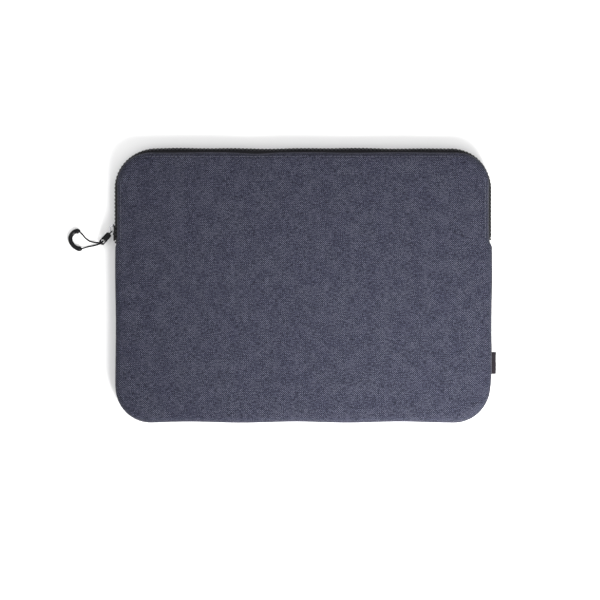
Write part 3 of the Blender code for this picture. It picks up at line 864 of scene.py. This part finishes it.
def pull_tab():
    """A stamped plate with a cord hole and a raised middle, hung on the bail by its eye."""
    place = tab_place()
    outline = rounded_box_outline(TAB_START, TAB_END, TAB_WIDTH / 2, TAB_CORNER)
    hole = rounded_box_outline(*TAB_HOLE, TAB_HOLE_HALF_WIDTH, 0.0016, steps=8)
    plate = extruded("tab_plate_body", outline, TAB_THICKNESS, place, 0.00025, holes=(hole,))
    boss_outline = rounded_box_outline(TAB_START + 0.0012, TAB_HOLE[0] - 0.0016, 0.0014, 0.0008)
    lift = place @ Matrix.Translation((0, 0, TAB_THICKNESS / 2))
    boss = extruded("tab_boss", boss_outline, 0.0006, lift, 0.0002)
    ring = []
    for step in range(33):
        turn = 2 * math.pi * step / 32
        ring.append(place @ Vector((EYE_RING * math.cos(turn), 0, EYE_RING * math.sin(turn))))
    eye = tube("tab_eye", ring, lambda share: EYE_WIRE, sides=12)
    tab = joined("tab_plate", [plate, boss, eye])
    finished(tab, MATERIALS["slider_black"])
    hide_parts("pull_tab")
    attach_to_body(tab, "pull_tab")


def smooth_route(route, spacing):
    """Evenly spaced points on a smooth curve through the route's own points."""
    knots = [Vector(p) for p in route]
    knots = [2 * knots[0] - knots[1]] + knots + [2 * knots[-1] - knots[-2]]
    fine = []
    for before, a, b, after in zip(knots, knots[1:], knots[2:], knots[3:]):
        for step in range(24):
            t = step / 24
            fine.append(0.5 * (
                2 * a + (b - before) * t
                + (2 * before - 5 * a + 4 * b - after) * t ** 2
                + (3 * a - before - 3 * b + after) * t ** 3))
    fine.append(knots[-2])
    walked = [0.0]
    for a, b in zip(fine, fine[1:]):
        walked.append(walked[-1] + (b - a).length)
    count = round(walked[-1] / spacing)
    wanted = np.linspace(0, walked[-1], count + 1)
    axes = [np.interp(wanted, walked, [p[axis] for p in fine]) for axis in range(3)]
    return [Vector(p) for p in zip(*axes)], walked[-1]


def cord_and_grip():
    """A braided loop through the tab's hole, and the C-shaped grip moulded on its ends."""
    path, length = smooth_route(CORD_ROUTE, 0.00025)
    twist = length / 0.0032

    def braid(share, angle):
        turn = 2 * math.pi * twist * share
        return 1 + 0.12 * (abs(math.sin(angle + turn) * math.cos(angle - turn)) - 0.9)

    cord = tube("cord_braid", path, lambda share: CORD_RADIUS, sides=14, groove=braid)
    finished(cord, MATERIALS["cord_braid"])
    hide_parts("pull_cord")
    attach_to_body(cord, "pull_loop")

    grip_path, grip_length = smooth_route([CORD_ROUTE[0], *GRIP_ROUTE, CORD_ROUTE[-1]], 0.0003)
    end_share = GRIP_RADIUS * 0.9 / grip_length

    def grip_radius(share):
        near_end = min(share, 1 - share)
        bulge = 1 + 0.16 * math.exp(-(((near_end - 0.09) / 0.06) ** 2))
        dome = math.sqrt(max(1 - max(1 - near_end / end_share, 0) ** 2, 0.13))
        return GRIP_RADIUS * 0.96 * bulge * dome

    grip = tube("grip_moulding", grip_path, grip_radius, sides=24)
    finished(grip, MATERIALS["grip_rubber"])
    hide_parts("cord_grip")
    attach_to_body(grip, "pull_loop")


# Materials

def plain_material(name, colour, roughness, metallic=0.0):
    made = bpy.data.materials.new(name)
    made.use_nodes = True
    shader = made.node_tree.nodes["Principled BSDF"]
    shader.inputs["Base Color"].default_value = (*colour, 1)
    shader.inputs["Roughness"].default_value = roughness
    shader.inputs["Metallic"].default_value = metallic
    return made


class Nodes:
    """Short calls for building a material's node tree."""

    def __init__(self, made):
        self.tree = made.node_tree
        self.shader = self.tree.nodes["Principled BSDF"]

    def link(self, source, target):
        self.tree.links.new(source, target)

    def add(self, kind, **settings):
        node = self.tree.nodes.new(kind)
        for key, value in settings.items():
            setattr(node, key, value)
        return node

    def cloth(self):
        return self.add("ShaderNodeUVMap", uv_map="Cloth").outputs["UV"]

    def solid(self):
        return self.add("ShaderNodeTexCoord").outputs["Object"]

    def scaled(self, vector, scale):
        node = self.add("ShaderNodeMapping")
        self.link(vector, node.inputs["Vector"])
        node.inputs["Scale"].default_value = scale
        return node.outputs["Vector"]

    def noise(self, vector, scale, detail=2.0, roughness=0.5):
        node = self.add("ShaderNodeTexNoise")
        node.inputs["Scale"].default_value = 1.0
        node.inputs["Detail"].default_value = detail
        node.inputs["Roughness"].default_value = roughness
        self.link(self.scaled(vector, scale), node.inputs["Vector"])
        return node.outputs["Fac"]

    def math(self, operation, a, b=0.0, clamp=False):
        node = self.add("ShaderNodeMath", operation=operation, use_clamp=clamp)
        for value, socket in ((a, node.inputs[0]), (b, node.inputs[1])):
            if isinstance(value, (int, float)):
                socket.default_value = value
            else:
                self.link(value, socket)
        return node.outputs[0]

    def blend(self, share, a, b, kind="MIX"):
        node = self.add("ShaderNodeMix", data_type="RGBA", blend_type=kind)
        for value, socket in ((share, node.inputs["Factor"]), (a, node.inputs[6]), (b, node.inputs[7])):
            if isinstance(value, tuple):
                socket.default_value = (*value, 1)
            elif isinstance(value, (int, float)):
                socket.default_value = value
            else:
                self.link(value, socket)
        return node.outputs[2]

    def ramp(self, value, stops):
        node = self.add("ShaderNodeValToRGB")
        while len(node.color_ramp.elements) < len(stops):
            node.color_ramp.elements.new(0.5)
        for element, (place, colour) in zip(node.color_ramp.elements, stops):
            element.position = place
            element.color = (*colour, 1)
        self.link(value, node.inputs["Fac"])
        return node.outputs["Color"]

    def bump(self, height, strength, distance):
        node = self.add("ShaderNodeBump")
        node.inputs["Strength"].default_value = strength
        node.inputs["Distance"].default_value = distance
        self.link(height, node.inputs["Height"])
        self.link(node.outputs["Normal"], self.shader.inputs["Normal"])

    def over_under(self, vector, pitch):
        """(which thread is on top, the relief of the plain weave)."""
        parts = self.add("ShaderNodeSeparateXYZ")
        self.link(vector, parts.inputs[0])
        waves = []
        for axis in (0, 1):
            turn = self.math("MULTIPLY", parts.outputs[axis], math.pi / pitch)
            waves.append(self.math("SINE", turn))
        product = self.math("MULTIPLY", waves[0], waves[1])
        on_top = self.math("GREATER_THAN", product, 0.0)
        relief = self.math("ABSOLUTE", product)
        return on_top, relief


def heather_weave():
    """Plain weave of dark warp and paler weft, with slubs, flecks and patches where they differ more, and
    painted shade in the dips between the threads.
    """
    made = plain_material("Heather weave", (0.03, 0.03, 0.05), 0.92)
    n = Nodes(made)
    cloth = n.cloth()
    pitch = 0.00095
    on_top, relief = n.over_under(cloth, pitch)
    slub = 260
    fine = 1 / pitch
    weft = n.noise(cloth, (slub, fine, 1), 1.0, 0.6)
    warp = n.noise(cloth, (fine, slub, 1), 1.0, 0.6)
    yarn = n.math("ADD", n.math("MULTIPLY", weft, on_top),
                  n.math("MULTIPLY", warp, n.math("SUBTRACT", 1.0, on_top)))
    fleck = n.noise(cloth, (1000, 1000, 1), 2.0, 0.7)
    patch = n.ramp(n.noise(cloth, (75, 90, 1), 2.0, 0.6), (
        (0.38, (0.35, 0.35, 0.35)), (0.62, (1.0, 1.0, 1.0))))
    checker = n.math("MULTIPLY", n.math("SUBTRACT", on_top, 0.5), n.math("MULTIPLY", patch, 0.26))
    mixed = n.math("ADD", n.math("MULTIPLY", yarn, 0.50), n.math("MULTIPLY", fleck, 0.50))
    mixed = n.math("ADD", mixed, checker)
    colour = n.ramp(mixed, (
        (0.34, (0.0036, 0.0038, 0.0062)),
        (0.46, (0.0150, 0.0158, 0.0258)),
        (0.56, (0.0320, 0.0335, 0.0530)),
        (0.68, (0.0800, 0.0830, 0.1180)),
    ))
    blotch = n.noise(cloth, (38, 30, 1), 2.0, 0.6)
    tint = n.ramp(blotch, ((0.35, (0.95, 0.94, 0.97)), (0.65, (1.04, 1.04, 1.02))))
    colour = n.blend(1.0, colour, tint, "MULTIPLY")
    # painted shade: the colour is darkened in the dips between threads and a little lightened on their
    # crowns
    shade = n.math("ADD", n.math("MULTIPLY", relief, 0.55), 0.62)
    colour = n.blend(1.0, colour, shade, "MULTIPLY")
    n.link(colour, n.shader.inputs["Base Color"])
    height = n.math("ADD", n.math("MULTIPLY", relief, 0.7), n.math("MULTIPLY", yarn, 0.5))
    n.bump(height, 0.6, 0.00020)
    n.shader.inputs["Sheen Weight"].default_value = 0.03
    n.shader.inputs["Sheen Roughness"].default_value = 0.5
    n.shader.inputs["Specular IOR Level"].default_value = 0.10
    return made


def ribbed_cloth(name, dark, light, pitch, roughness):
    """Dense tape or ribbon, in a fine plain weave, with painted shade in the dips between its threads."""
    made = plain_material(name, dark, roughness)
    n = Nodes(made)
    cloth = n.cloth()
    on_top, relief = n.over_under(cloth, pitch)
    fleck = n.noise(cloth, (1400, 1400, 1), 2.0, 0.6)
    # half of the colour follows the weave's relief: painted shade in the dips between threads, lighter on
    # their crowns
    share = n.math("ADD", n.math("MULTIPLY", relief, 0.5), n.math("MULTIPLY", fleck, 0.5))
    n.link(n.ramp(share, ((0.25, dark), (0.75, light))), n.shader.inputs["Base Color"])
    n.bump(n.math("ADD", relief, n.math("MULTIPLY", on_top, 0.2)), 0.5, 0.00012)
    n.shader.inputs["Sheen Weight"].default_value = 0.04
    n.shader.inputs["Specular IOR Level"].default_value = 0.15
    return made


def speckled(name, dark, light, roughness, scale, strength, depth, metallic=0.0, shine=0.5):
    """A solid material with fine uneven colour and a fine relief: moulded plastic, paint or foam."""
    made = plain_material(name, dark, roughness, metallic)
    n = Nodes(made)
    solid = n.solid()
    grain = n.noise(solid, (scale, scale, scale), 3.0, 0.6)
    n.link(n.ramp(grain, ((0.35, dark), (0.65, light))), n.shader.inputs["Base Color"])
    wear = n.noise(solid, (scale / 6, scale / 6, scale / 6), 2.0, 0.5)
    rough = n.math("ADD", n.math("MULTIPLY", wear, 0.18), roughness - 0.09)
    n.link(rough, n.shader.inputs["Roughness"])
    n.bump(grain, strength, depth)
    n.shader.inputs["Specular IOR Level"].default_value = shine
    return made


def make_materials():
    lining = speckled(
        "Brushed lining", (0.012, 0.012, 0.016), (0.036, 0.036, 0.042),
        roughness=0.95, scale=1500, strength=0.5, depth=0.0003, shine=0.1)
    lining.node_tree.nodes["Principled BSDF"].inputs["Sheen Weight"].default_value = 0.20
    return {
        "weave": heather_weave(),
        "foam": speckled(
            "Foam padding", (0.024, 0.024, 0.028), (0.050, 0.050, 0.054),
            roughness=0.95, scale=900, strength=0.4, depth=0.0002, shine=0.1),
        "lining": lining,
        "zip_tape": ribbed_cloth(
            "Zip tape", (0.003, 0.003, 0.004), (0.015, 0.015, 0.019), pitch=0.0005, roughness=0.9),
        "zip_teeth": speckled(
            "Moulded teeth", (0.006, 0.006, 0.007), (0.012, 0.012, 0.014),
            roughness=0.34, scale=1200, strength=0.1, depth=0.00005, shine=0.4),
        "thread": speckled(
            "Sewing thread", (0.036, 0.037, 0.052), (0.080, 0.082, 0.106),
            roughness=0.7, scale=3000, strength=0.3, depth=0.00005, shine=0.2),
        "slider_black": speckled(
            "Black enamel", (0.002, 0.002, 0.003), (0.005, 0.005, 0.006),
            roughness=0.24, scale=1500, strength=0.08, depth=0.00003, shine=0.15),
        "bail_chrome": speckled(
            "Bright plate", (0.46, 0.46, 0.48), (0.64, 0.64, 0.66),
            roughness=0.16, scale=800, strength=0.03, depth=0.00002, metallic=1.0),
        "cord_braid": speckled(
            "Braided cord", (0.002, 0.002, 0.003), (0.009, 0.009, 0.011),
            roughness=0.8, scale=3500, strength=0.6, depth=0.0001, shine=0.1),
        "grip_rubber": speckled(
            "Satin rubber", (0.002, 0.002, 0.003), (0.004, 0.004, 0.005),
            roughness=0.18, scale=1800, strength=0.10, depth=0.00004, shine=0.15),
        "label_ribbon": ribbed_cloth(
            "Label ribbon", (0.006, 0.0045, 0.0058), (0.022, 0.0175, 0.022), pitch=0.00042, roughness=0.85),
    }


def zip_stops():
    """The frame's own zip stops keep their shape and take the teeth's plastic."""
    for node in ("top_stop_front", "top_stop_back", "bottom_stop"):
        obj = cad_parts[node]
        obj.data.materials.clear()
        obj.data.materials.append(MATERIALS["zip_teeth"])


make_camera()
make_lights()
MATERIALS = make_materials()
make_floor()
cord_and_grip()
covers()
paddings()
linings()
gusset_pieces()
zip_tapes()
teeth_rows()
stitch_rows()
label_loop()
slider()
bail()
pull_tab()
zip_stops()
